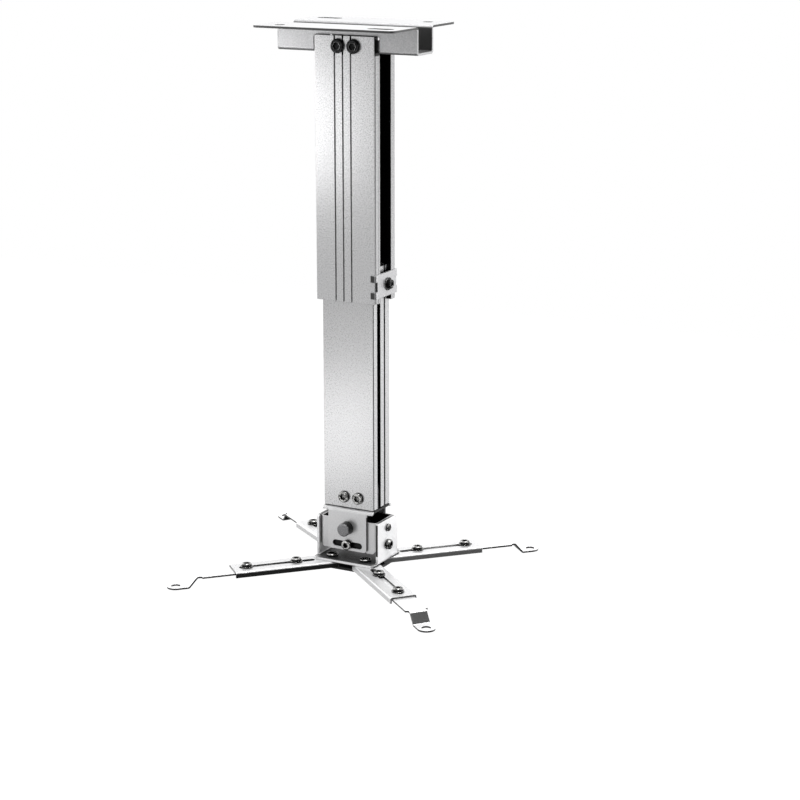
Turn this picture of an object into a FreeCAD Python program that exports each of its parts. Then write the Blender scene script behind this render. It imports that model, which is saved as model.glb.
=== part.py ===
import FreeCAD, Part
import os
import re

import Sketcher

# Ceiling mount with a telescopic column, a head that tilts two ways and four arms that hold the load.
# Millimetres and degrees. The origin is the middle of the ceiling plane, on the column's axis. The front is -Y.

SIZES = {
    # Ceiling bracket, a hat channel folded from sheet and open upwards
    "bracket_length": 140,
    "channel_depth": 30,
    "flange_width": 45,
    "bracket_height": 24.5,
    "bracket_sheet": 2,
    "bracket_bend": 1,
    "flange_corner": 6,
    "anchor_along": 50,
    "anchor_across": 44,
    "anchor_bore": 9.5,
    "anchor_slot": 25,
    "cutout_width": 66,
    "cutout_strip": 9,
    "cutout_corner": 3,
    # Outer profile, an aluminium extrusion with an open slot down its right side
    "outer_width": 60,
    "outer_depth": 38,
    "outer_length": 237,
    "outer_side_wall": 4,
    "outer_face_wall": 3,
    "outer_edge": 0.6,
    "column_gap": 0.5,
    "outer_slot": 20.8,
    "outer_slot_shift": 1.2,
    "groove_width": 1.6,
    "groove_depth": 1.2,
    "groove_pitch": 8.1,
    "groove_shift": -1.6,
    "corner_groove": 1.2,
    "corner_groove_inset": 1,
    "corner_groove_depth": 1,
    "hairline": 0.4,
    "hairline_inset": 7,
    # Cross block, which hangs the column from the bracket's web
    "block_fit": 0.3,
    "block_height": 10,
    "block_arm": 24,
    "block_span": 100,
    "block_screw_inset": 7,
    "block_screw_head": 9.6,
    "block_screw_length": 9,
    # Screws through the front faces of the two profiles
    "face_shank": 6,
    "top_screw_length": 14,
    "top_screw_rise": 4,
    "top_screw_pitch": 15.8,
    "top_screw_shift": 1.6,
    "top_head": 12.7,
    "top_head_height": 3,
    "foot_screw_length": 12,
    "foot_screw_rise": 9.8,
    "foot_screw_pitch": 14.6,
    "foot_screw_shift": 2.4,
    "foot_head": 11,
    "foot_head_height": 2.6,
    "clear_fit": 0.25,
    "thread_fit": 0.05,
    "tip_room": 1,
    # Inner profile, which slides in the outer one
    "slide_fit": 0.4,
    "inner_length": 226,
    "inner_wall": 2.5,
    "inner_overlap": 31.5,
    "inner_slot": 6.5,
    "inner_slot_shift": -4,
    "inner_groove": 2.6,
    "inner_groove_shift": 6.8,
    "inner_groove_depth": 0.8,
    "inner_edge_groove": 1.6,
    "inner_edge_inset": 0.6,
    # End block in the foot of the inner profile
    "end_block_height": 20,
    "end_block_fit": 0.1,
    "end_block_reveal": 0.8,
    # Clamp plate with its nut and its pressing screw
    "clamp_height": 21.4,
    "clamp_rise": 5.4,
    "clamp_sheet": 2,
    "clamp_bend": 1,
    "clamp_ear": 6.2,
    "clamp_hook": 5.4,
    "clamp_hook_fit": 0.15,
    "clamp_waist": 1.5,
    "clamp_shift": 1.7,
    "clamp_shank": 6,
    "clamp_flange": 12,
    "clamp_flange_height": 1,
    "clamp_head": 8.4,
    "clamp_head_height": 3.4,
    "clamp_tip_fit": 0.15,
    "clamp_nut_width": 16,
    "clamp_nut_height": 3.2,
    # Upper bracket, a U folded from sheet and open downwards
    "head_drop": 18.2,
    "upper_sheet": 2,
    "upper_bend": 1,
    "upper_plate_overhang": 0.4,
    "upper_ear": 40,
    "upper_height": 40,
    "upper_ear_corner": 3,
    "head_screw_pitch": 32,
    "head_screw_head": 9.5,
    "head_screw_head_height": 2.6,
    "head_screw_shank": 5,
    "head_screw_length": 12,
    # Roll pivots, and the locks of both tilts
    "roll_stud": 12.4,
    "roll_stud_reach": 8.6,
    "roll_stud_rim": 14.6,
    "roll_stud_rim_height": 2,
    "pivot_fit": 0.1,
    "lock_radius": 16.2,
    "lock_slot": 6,
    "lock_shank": 5,
    "lock_head": 9.6,
    "lock_head_height": 3.8,
    "lock_fit": 0.1,
    "lock_nut_width": 8,
    "lock_nut_height": 4,
    "roll_slot_length": 31,
    "pitch_slot_angle": 24,
    "pitch_rivet": 5,
    "pitch_rivet_head": 7,
    "pitch_rivet_head_height": 2.4,
    "pitch_rivet_tail": 8,
    "pitch_rivet_tail_height": 1.4,
    # Tilt box between the two brackets
    "box_width": 59.4,
    "box_depth": 33.4,
    "box_rise": 7.5,
    "box_fall": 22.5,
    "box_sheet": 2,
    "box_bend": 1,
    "box_corner": 4,
    "ear_fit": 0.3,
    # Lower bracket, a U folded from sheet and open upwards
    "lower_sheet": 2.2,
    "lower_bend": 1,
    "lower_rise": 8,
    "lower_fall": 30.2,
    "upright_depth": 38,
    "upright_front_corner": 2,
    "upright_rear_corner": 6,
    "base_depth": 55,
    "base_corner": 3,
    # Screws on which the arms swivel
    "base_screw_side_inset": 14.6,
    "base_screw_end_inset": 11.3,
    "base_shank": 6,
    "base_head": 11,
    "base_head_height": 2.5,
    # Hub plate, which the base screws draw up against the arms' walls
    "hub_inset": 5.5,
    "hub_sheet": 2.5,
    "hub_corner": 3,
    # Arm channels
    "arm_sheet": 1.5,
    "arm_bend": 0.5,
    "arm_width": 25,
    "arm_height": 5.6,
    "arm_length": 96,
    "arm_eye": 22,
    "arm_wall_reach": 2,
    "arm_slot": 6,
    "arm_slot_start": 17,
    "arm_slot_end": 90,
    "swivel_fit": 0.15,
    # Foot strips and the screws that clamp them in the arms
    "strip_sheet": 1.6,
    "strip_width": 21,
    "strip_fit": 0.15,
    "strip_bend": 1.4,
    "strip_start": 27,
    "strip_end_corner": 3,
    "crank_start": 131.5,
    "crank_end": 139.5,
    "crank_drop": 9,
    "neck_start": 127,
    "neck_width": 15.8,
    "neck_corner": 1.8,
    "foot_hole_along": 149.8,
    "foot_tip_round": 7.8,
    "foot_hole": 8.5,
    "arm_screw_near": 35.1,
    "arm_screw_far": 82.7,
    "arm_shank": 5,
    "arm_head": 9.2,
    "arm_head_height": 2.8,
    "washer_width": 11.6,
    "washer_sheet": 1,
    "washer_fit": 0.1,
    "arm_nut_width": 8,
    "arm_nut_height": 3.4,
    # Hexagon sockets in the screws' heads
    "socket_share": 0.5,
    "socket_depth_share": 0.6,
    "dome_share": 0.45,
    # Rest angles of the arms, from +X towards +Y
    "front_left_angle": 226.7,
    "front_right_angle": 319.3,
    "rear_right_angle": 46.4,
    "rear_left_angle": 144.5,
}

# Sizes that follow from the driving ones
DERIVED = {
    "bracket_half": "bracket_length / 2",
    "channel_half": "channel_depth / 2",
    "flange_reach": "channel_half + flange_width",
    "web_inside": "bracket_height - bracket_sheet",
    "slot_stretch": "(anchor_slot - anchor_bore) / 2",
    "column_drop": "cutout_strip + column_gap",
    "outer_half_width": "outer_width / 2",
    "outer_half_depth": "outer_depth / 2",
    "outer_bottom": "column_drop + outer_length",
    "outer_slot_front": "outer_slot_shift - outer_slot / 2",
    "outer_slot_rear": "outer_slot_shift + outer_slot / 2",
    "cavity_half_width": "outer_half_width - outer_side_wall",
    "cavity_half_depth": "outer_half_depth - outer_face_wall",
    "block_half_width": "cavity_half_width - block_fit",
    "block_half_depth": "cavity_half_depth - block_fit",
    "block_screw_place": "block_span / 2 - block_screw_inset",
    "top_screw_drop": "web_inside - top_screw_rise",
    "inner_half_width": "cavity_half_width - slide_fit",
    "inner_half_depth": "cavity_half_depth - slide_fit",
    "inner_cavity_half_width": "inner_half_width - inner_wall",
    "inner_cavity_half_depth": "inner_half_depth - inner_wall",
    "inner_slot_front": "inner_slot_shift - inner_slot / 2",
    "inner_slot_rear": "inner_slot_shift + inner_slot / 2",
    "inner_drop": "outer_bottom - inner_overlap",
    "inner_bottom": "inner_drop + inner_length",
    "foot_screw_drop": "inner_bottom - foot_screw_rise",
    "clamp_middle": "outer_bottom - clamp_rise - clamp_height / 2",
    "clamp_face": "outer_half_width + clamp_sheet",
    "clamp_inner_half": "outer_half_depth + clamp_hook_fit",
    "clamp_outer_half": "clamp_inner_half + clamp_sheet",
    "head_top": "inner_bottom + end_block_reveal",
    "head_centre": "head_top + head_drop",
    "box_half_width": "box_width / 2",
    "box_half_depth": "box_depth / 2",
    "upper_plate": "2 * inner_half_width + 2 * upper_plate_overhang",
    "upper_inside": "box_half_depth + ear_fit",
    "upper_outside": "upper_inside + upper_sheet",
    "upper_fall": "upper_height - head_drop",
    "upright_inside": "box_half_width + ear_fit",
    "upright_outside": "upright_inside + lower_sheet",
    "arm_pivot_along": "upright_outside - base_screw_side_inset",
    "arm_pivot_across": "base_depth / 2 - base_screw_end_inset",
    "arm_top": "lower_fall + lower_sheet + swivel_fit",
    "arm_half": "arm_width / 2",
    "hub_top": "arm_top + arm_height + swivel_fit",
    "foot_tip": "foot_hole_along + neck_width / 2",
    "strip_top": "arm_sheet + strip_fit",
    "crank_shift": "strip_sheet * tan(atan(crank_drop / (crank_end - crank_start)) / 2)",
}

doc = FreeCAD.newDocument("projector_ceiling_mount")
sheet = doc.addObject("Spreadsheet::Sheet", "Sizes")
for row, (size_name, size) in enumerate(SIZES.items(), start=1):
    sheet.set(f"A{row}", size_name)
    sheet.set(f"B{row}", str(size))
    sheet.setAlias(f"B{row}", size_name)
doc.recompute()

parts = []


def formula(text):
    """An expression on the sheet's cells for a size written in plain names."""
    def swap(match):
        word = match.group(0)
        if word in DERIVED:
            return "(" + formula(DERIVED[word]) + ")"
        if word in SIZES:
            return "Sizes." + word
        return word
    return re.sub(r"[a-z_]+", swap, text)


def value(text):
    return float(sheet.evalExpression(formula(text)))


def bind(item, setting, text):
    item.setExpression(setting, formula(text))


def minus(text):
    return f"-({text})"


def mirrored(points):
    """The points, then their mirror images about the second axis in the opposite order."""
    return points + [(minus(across), up) for across, up in reversed(points)]


def rectangle(left, right, low, high):
    return [(left, low), (right, low), (right, high), (left, high)]


def new_body(name):
    body = doc.addObject("PartDesign::Body", name)
    body.Label = name
    return body


def new_sketch(body, plane_role, offset="0"):
    """An empty sketch on one of the body's own planes, moved along the plane's normal."""
    plane = next(item for item in body.Origin.OriginFeatures if item.Role == plane_role)
    sketch = body.newObject("Sketcher::SketchObject", body.Name + "_sketch")
    sketch.AttachmentSupport = [(plane, "")]
    sketch.MapMode = "FlatFace"
    bind(sketch, "AttachmentOffset.Base.z", offset)
    return sketch


def tie_point(sketch, geometry, point, across, up):
    """Hold a point of the sketch at two distances from its origin."""
    for kind, text in (("DistanceX", across), ("DistanceY", up)):
        number = sketch.addConstraint(Sketcher.Constraint(kind, -1, 1, geometry, point, value(text)))
        bind(sketch, f"Constraints[{number}]", text)


def add_outline(sketch, points):
    """A closed outline of straight lines through the points."""
    first = sketch.GeometryCount
    places = [FreeCAD.Vector(value(across), value(up), 0) for across, up in points]
    lines = [Part.LineSegment(start, end) for start, end in zip(places, places[1:] + places[:1])]
    sketch.addGeometry(lines, False)
    joints = []
    for index in range(len(points)):
        following = first + (index + 1) % len(points)
        joints.append(Sketcher.Constraint("Coincident", first + index, 2, following, 1))
    sketch.addConstraint(joints)
    for index, (across, up) in enumerate(points):
        tie_point(sketch, first + index, 1, across, up)


def add_circle(sketch, across, up, diameter):
    centre = FreeCAD.Vector(value(across), value(up), 0)
    circle = sketch.addGeometry(Part.Circle(centre, FreeCAD.Vector(0, 0, 1), value(diameter) / 2), False)
    tie_point(sketch, circle, 3, across, up)
    number = sketch.addConstraint(Sketcher.Constraint("Diameter", circle, value(diameter)))
    bind(sketch, f"Constraints[{number}]", diameter)


def pad(body, sketch, length, symmetric=False, reverse=False):
    feature = body.newObject("PartDesign::Pad", body.Name + "_pad")
    feature.Profile = sketch
    bind(feature, "Length", length)
    feature.SideType = "Symmetric" if symmetric else "One side"
    feature.Reversed = reverse
    doc.recompute()


def cut(body, sketch, depth):
    """A pocket that reaches equally far to both sides of its sketch, depth in all."""
    before = body.Shape.Volume
    feature = body.newObject("PartDesign::Pocket", body.Name + "_pocket")
    feature.Profile = sketch
    feature.SideType = "Symmetric"
    bind(feature, "Length", depth)
    doc.recompute()
    if body.Shape.Volume >= before:
        raise RuntimeError(f"a cut of {body.Label} removes nothing")


def cut_outline(body, plane_role, outlines, depth, offset="0"):
    sketch = new_sketch(body, plane_role, offset)
    for points in outlines:
        add_outline(sketch, points)
    cut(body, sketch, depth)


def drill(body, plane_role, centres, diameter, depth, offset="0"):
    sketch = new_sketch(body, plane_role, offset)
    for across, up in centres:
        add_circle(sketch, across, up, diameter)
    cut(body, sketch, depth)


def long_holes(body, plane_role, ends, width, depth):
    """Holes with round ends, from one centre to another along the sketch's first axis."""
    for start, end, up in ends:
        sides = rectangle(start, end, f"{up} - ({width}) / 2", f"{up} + ({width}) / 2")
        cut_outline(body, plane_role, [sides], depth)
        drill(body, plane_role, [(start, up), (end, up)], width, depth)


def turn(body, sketch, axis_name):
    feature = body.newObject("PartDesign::Revolution", body.Name + "_turn")
    feature.Profile = sketch
    feature.ReferenceAxis = (sketch, [axis_name])
    feature.Angle = 360
    doc.recompute()


def swing_cut(body, plane_role, outlines, angle):
    """Sweep the outlines about the sketch's first axis, half the angle to each side, and remove that."""
    before = body.Shape.Volume
    sketch = new_sketch(body, plane_role)
    for points in outlines:
        add_outline(sketch, points)
    feature = body.newObject("PartDesign::Groove", body.Name + "_groove")
    feature.Profile = sketch
    feature.ReferenceAxis = (sketch, ["H_Axis"])
    feature.Midplane = True
    bind(feature, "Angle", angle)
    doc.recompute()
    if body.Shape.Volume >= before:
        raise RuntimeError(f"a swung cut of {body.Label} removes nothing")


OTHER_AXES = {"x": ("y", "z"), "y": ("x", "z"), "z": ("x", "y")}


def round_edges(body, axis, places, radius):
    """Round the straight edges along axis at the places, given by the other two coordinates."""
    base = body.Tip
    along = FreeCAD.Vector(*(1 if name == axis else 0 for name in "xyz"))
    targets = [(value(across), value(up)) for across, up in places]
    found = set()
    names = []
    for number, edge in enumerate(base.Shape.Edges, start=1):
        if edge.Curve.TypeId != "Part::GeomLine" or abs(edge.Curve.Direction.dot(along)) < 0.9999:
            continue
        middle = edge.CenterOfMass
        across, up = (getattr(middle, name) for name in OTHER_AXES[axis])
        for target in targets:
            if abs(across - target[0]) < 0.01 and abs(up - target[1]) < 0.01:
                names.append(f"Edge{number}")
                found.add(target)
    if len(found) < len(set(targets)):
        raise RuntimeError(f"an edge of {body.Label} to be rounded is missing")
    feature = body.newObject("PartDesign::Fillet", body.Name + "_fillet")
    feature.Base = (base, names)
    bind(feature, "Radius", radius)
    doc.recompute()


def round_rim(body, diameter, height, radius):
    """Round the circular edge of that diameter at that height on the body's upright axis."""
    base = body.Tip
    names = []
    for number, edge in enumerate(base.Shape.Edges, start=1):
        curve = edge.Curve
        if curve.TypeId != "Part::GeomCircle" or abs(curve.Radius - value(diameter) / 2) > 0.01:
            continue
        if abs(curve.Center.z - value(height)) < 0.01:
            names.append(f"Edge{number}")
    feature = body.newObject("PartDesign::Fillet", body.Name + "_fillet")
    feature.Base = (base, names)
    bind(feature, "Radius", radius)
    doc.recompute()


FACINGS = {
    "up": FreeCAD.Rotation(),
    "down": FreeCAD.Rotation(FreeCAD.Vector(1, 0, 0), 180),
    "front": FreeCAD.Rotation(FreeCAD.Vector(1, 0, 0), 90),
    "rear": FreeCAD.Rotation(FreeCAD.Vector(1, 0, 0), -90),
    "right": FreeCAD.Rotation(FreeCAD.Vector(0, 1, 0), 90),
    "left": FreeCAD.Rotation(FreeCAD.Vector(0, 1, 0), -90),
}


def place(item, along="0", across="0", up="0", facing="up"):
    item.Placement = FreeCAD.Placement(FreeCAD.Vector(), FACINGS[facing])
    bind(item, "Placement.Base.x", along)
    bind(item, "Placement.Base.y", across)
    bind(item, "Placement.Base.z", up)
    return item


def keep(item):
    """List a finished sub-part, which is written to a file named after its label."""
    parts.append(item)
    return item


def group(name, items):
    """Like fasteners that share one file."""
    compound = doc.addObject("Part::Compound", name)
    compound.Label = name
    compound.Links = items
    doc.recompute()
    return keep(compound)


def hexagon(width):
    """Corners of a hexagon, width across its flats."""
    return [(f"({width}) / sqrt(3) * cos({angle})", f"({width}) / sqrt(3) * sin({angle})")
            for angle in range(0, 360, 60)]


def add_socket(body, head, head_height):
    """A hexagon socket in the head's top."""
    outline = hexagon(f"({head}) * socket_share")
    cut_outline(body, "XY_Plane", [outline], f"2 * ({head_height}) * socket_depth_share", head_height)


def make_screw(name, shank, length, head, head_height):
    """A button head screw: the head's seat is at height 0 and the shank hangs below it."""
    body = new_body(name)
    sketch = new_sketch(body, "XZ_Plane")
    tip = f"({shank}) / 8"
    add_outline(sketch, [
        ("0", minus(length)),
        (f"({shank}) / 2 - {tip}", minus(length)),
        (f"({shank}) / 2", f"{tip} - ({length})"),
        (f"({shank}) / 2", "0"),
        (f"({head}) / 2", "0"),
        (f"({head}) / 2", head_height),
        ("0", head_height),
    ])
    turn(body, sketch, "V_Axis")
    round_rim(body, head, head_height, f"({head_height}) * dome_share")
    add_socket(body, head, head_height)
    return body


def make_nut(name, width, height, bore):
    """A hexagon nut that hangs below height 0."""
    body = new_body(name)
    sketch = new_sketch(body, "XY_Plane")
    add_outline(sketch, hexagon(width))
    pad(body, sketch, height, reverse=True)
    drill(body, "XY_Plane", [("0", "0")], bore, f"4 * ({height})")
    return body


def make_ceiling_bracket():
    body = new_body("ceiling_bracket")
    section = new_sketch(body, "YZ_Plane")
    add_outline(section, mirrored([
        ("channel_half - bracket_sheet", minus("web_inside")),
        ("channel_half - bracket_sheet", "0"),
        ("flange_reach", "0"),
        ("flange_reach", minus("bracket_sheet")),
        ("channel_half", minus("bracket_sheet")),
        ("channel_half", minus("bracket_height")),
    ]))
    pad(body, section, "bracket_length", symmetric=True)
    outer_bends = mirrored([("channel_half - bracket_sheet", "0"), ("channel_half", minus("bracket_height"))])
    inner_bends = mirrored([("channel_half", minus("bracket_sheet")),
                            ("channel_half - bracket_sheet", minus("web_inside"))])
    round_edges(body, "x", outer_bends, "bracket_bend + bracket_sheet")
    round_edges(body, "x", inner_bends, "bracket_bend")
    corners = mirrored([("bracket_half", "flange_reach"), ("bracket_half", minus("flange_reach"))])
    round_edges(body, "z", corners, "flange_corner")
    opening = rectangle("-cutout_width / 2", "cutout_width / 2", "-bracket_height - bracket_sheet", "-cutout_strip")
    cut_outline(body, "XZ_Plane", [opening], "channel_depth + bracket_sheet")
    upper_corners = mirrored([("cutout_width / 2", "-cutout_strip")])
    round_edges(body, "y", upper_corners, "cutout_corner")
    through = "4 * bracket_sheet"
    anchors = [("-anchor_along", "-anchor_across"), ("anchor_along", "anchor_across")]
    drill(body, "XY_Plane", anchors, "anchor_bore", through)
    slots = [("anchor_along - slot_stretch", "anchor_along + slot_stretch", "-anchor_across"),
             ("-anchor_along - slot_stretch", "slot_stretch - anchor_along", "anchor_across")]
    long_holes(body, "XY_Plane", slots, "anchor_bore", through)
    sink = new_sketch(body, "XY_Plane", "-bracket_height")
    for across in ("block_screw_place", "-block_screw_place"):
        add_circle(sink, across, "0", "face_shank + 2 * clear_fit")
    cut(body, sink, through)
    base = body.Tip
    rims = [f"Edge{number}" for number, edge in enumerate(base.Shape.Edges, start=1)
            if edge.Curve.TypeId == "Part::GeomCircle"
            and abs(edge.CenterOfMass.z + value("bracket_height")) < 0.01
            and abs(abs(edge.CenterOfMass.x) - value("block_screw_place")) < 0.01]
    chamfer = body.newObject("PartDesign::Chamfer", "ceiling_bracket_countersink")
    chamfer.Base = (base, rims)
    bind(chamfer, "Size", "(block_screw_head - face_shank) / 2 - clear_fit")
    doc.recompute()
    return keep(body)


def make_cross_block():
    body = new_body("cross_block")
    outline = new_sketch(body, "XY_Plane", "-web_inside")
    add_outline(outline, mirrored([
        ("block_half_width", "-block_half_depth"),
        ("block_half_width", "-block_arm / 2"),
        ("block_span / 2", "-block_arm / 2"),
        ("block_span / 2", "block_arm / 2"),
        ("block_half_width", "block_arm / 2"),
        ("block_half_width", "block_half_depth"),
    ]))
    pad(body, outline, "block_height")
    tapped = "face_shank + 2 * thread_fit"
    front_reach = "2 * (top_screw_length - outer_face_wall - block_fit + tip_room)"
    top_places = [(f"top_screw_shift {sign} top_screw_pitch / 2", "-top_screw_drop") for sign in "-+"]
    drill(body, "XZ_Plane", top_places, tapped, front_reach, "block_half_depth")
    web_places = [("-block_screw_place", "0"), ("block_screw_place", "0")]
    web_reach = "2 * (block_screw_length - bracket_sheet + tip_room)"
    drill(body, "XY_Plane", web_places, tapped, web_reach, "-web_inside")
    return keep(body)


def make_block_screws():
    """Countersunk screws, flush with the underside of the bracket's web."""
    screws = []
    for side, sign in (("left", "-"), ("right", "")):
        body = new_body(f"block_screw_{side}")
        sketch = new_sketch(body, "XZ_Plane")
        add_outline(sketch, [
            ("0", "0"),
            ("block_screw_head / 2", "0"),
            ("face_shank / 2", "(block_screw_head - face_shank) / 2"),
            ("face_shank / 2", "block_screw_length"),
            ("0", "block_screw_length"),
        ])
        turn(body, sketch, "V_Axis")
        cut_outline(body, "XY_Plane", [hexagon("block_screw_head * socket_share / 1.25")], "2 * bracket_sheet")
        screws.append(place(body, f"{sign}block_screw_place", "0", "-bracket_height"))
    group("block_screws", screws)


def right_side_groove(half_width, depth, near, far):
    """A groove in a profile's right face, drawn from its far edge to its near one."""
    return [(half_width, far), (f"{half_width} - {depth}", far), (f"{half_width} - {depth}", near), (half_width, near)]


def make_outer_profile():
    body = new_body("outer_profile")
    section = new_sketch(body, "XY_Plane", "-column_drop")
    points = [("outer_half_width", "outer_slot_front")]
    hairline_middle = "hairline_inset - outer_half_depth"
    points += right_side_groove("outer_half_width", "hairline",
                                f"{hairline_middle} - hairline / 2", f"{hairline_middle} + hairline / 2")
    edge_line = "corner_groove_inset - outer_half_depth"
    points += right_side_groove("outer_half_width", "corner_groove_depth",
                                edge_line, f"{edge_line} + corner_groove")
    points.append(("outer_half_width", "-outer_half_depth"))
    for step in (1, 0, -1):
        middle = f"groove_shift + ({step}) * groove_pitch"
        left = f"{middle} - groove_width / 2"
        right = f"{middle} + groove_width / 2"
        floor = "groove_depth - outer_half_depth"
        points += [(right, "-outer_half_depth"), (right, floor), (left, floor), (left, "-outer_half_depth")]
    points += [("-outer_half_width", "-outer_half_depth"), ("-outer_half_width", "outer_half_depth")]
    for step in (-1, 0, 1):
        middle = f"groove_shift + ({step}) * groove_pitch"
        left = f"{middle} - groove_width / 2"
        right = f"{middle} + groove_width / 2"
        floor = "outer_half_depth - groove_depth"
        points += [(left, "outer_half_depth"), (left, floor), (right, floor), (right, "outer_half_depth")]
    points += [
        ("outer_half_width", "outer_half_depth"),
        ("outer_half_width", "outer_slot_rear"),
        ("cavity_half_width", "outer_slot_rear"),
        ("cavity_half_width", "cavity_half_depth"),
        ("-cavity_half_width", "cavity_half_depth"),
        ("-cavity_half_width", "-cavity_half_depth"),
        ("cavity_half_width", "-cavity_half_depth"),
        ("cavity_half_width", "outer_slot_front"),
    ]
    add_outline(section, points)
    pad(body, section, "outer_length", reverse=True)
    corners = mirrored([("outer_half_width", "outer_half_depth"), ("outer_half_width", "-outer_half_depth")])
    round_edges(body, "z", corners, "outer_edge")
    notch = rectangle("-block_arm / 2 - block_fit", "block_arm / 2 + block_fit",
                      "-web_inside - block_fit", "block_fit - column_drop")
    cut_outline(body, "YZ_Plane", [notch], "outer_width + 2 * block_fit")
    places = [(f"top_screw_shift {sign} top_screw_pitch / 2", "-top_screw_drop") for sign in "-+"]
    drill(body, "XZ_Plane", places, "face_shank + 2 * clear_fit",
          "outer_face_wall + block_fit", "outer_half_depth - outer_face_wall / 2")
    return keep(body)


def make_inner_profile():
    body = new_body("inner_profile")
    section = new_sketch(body, "XY_Plane", "-inner_drop")
    points = [("inner_half_width", "inner_slot_front")]
    edge_line = "inner_edge_inset - inner_half_depth"
    points += right_side_groove("inner_half_width", "corner_groove_depth",
                                edge_line, f"{edge_line} + inner_edge_groove")
    points += [
        ("inner_half_width", "-inner_half_depth"),
        ("-inner_half_width", "-inner_half_depth"),
        ("-inner_half_width", "inner_half_depth"),
        ("inner_half_width", "inner_half_depth"),
    ]
    points += right_side_groove("inner_half_width", "inner_groove_depth",
                                "inner_groove_shift - inner_groove / 2", "inner_groove_shift + inner_groove / 2")
    points += [
        ("inner_half_width", "inner_slot_rear"),
        ("inner_cavity_half_width", "inner_slot_rear"),
        ("inner_cavity_half_width", "inner_cavity_half_depth"),
        ("-inner_cavity_half_width", "inner_cavity_half_depth"),
        ("-inner_cavity_half_width", "-inner_cavity_half_depth"),
        ("inner_cavity_half_width", "-inner_cavity_half_depth"),
        ("inner_cavity_half_width", "inner_slot_front"),
    ]
    add_outline(section, points)
    pad(body, section, "inner_length", reverse=True)
    places = [(f"foot_screw_shift {sign} foot_screw_pitch / 2", "-foot_screw_drop") for sign in "-+"]
    drill(body, "XZ_Plane", places, "face_shank + 2 * clear_fit",
          "inner_wall + end_block_fit", "inner_half_depth - inner_wall / 2")
    return keep(body)


def make_end_block():
    body = new_body("end_block")
    outline = new_sketch(body, "XY_Plane", "-head_top")
    half_width = "inner_cavity_half_width - end_block_fit"
    half_depth = "inner_cavity_half_depth - end_block_fit"
    add_outline(outline, rectangle(minus(half_width), half_width, minus(half_depth), half_depth))
    pad(body, outline, "end_block_height")
    places = [(f"foot_screw_shift {sign} foot_screw_pitch / 2", "-foot_screw_drop") for sign in "-+"]
    front_reach = "2 * (foot_screw_length - inner_wall - end_block_fit + tip_room)"
    drill(body, "XZ_Plane", places, "face_shank + 2 * thread_fit", front_reach, half_depth)
    head_places = [("-head_screw_pitch / 2", "0"), ("head_screw_pitch / 2", "0")]
    head_reach = "2 * (head_screw_length - upper_sheet + tip_room)"
    drill(body, "XY_Plane", head_places, "head_screw_shank + 2 * thread_fit", head_reach, "-head_top")
    return keep(body)


def make_face_screws(name, length, head, head_height, shift, pitch, face, drop):
    """A pair of screws side by side in the front face of a profile."""
    screws = []
    for side, sign in (("left", "-"), ("right", "+")):
        body = make_screw(f"{name}_{side}", "face_shank", length, head, head_height)
        screws.append(place(body, f"{shift} {sign} {pitch} / 2", minus(face), minus(drop), "front"))
    group(name, screws)


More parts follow.
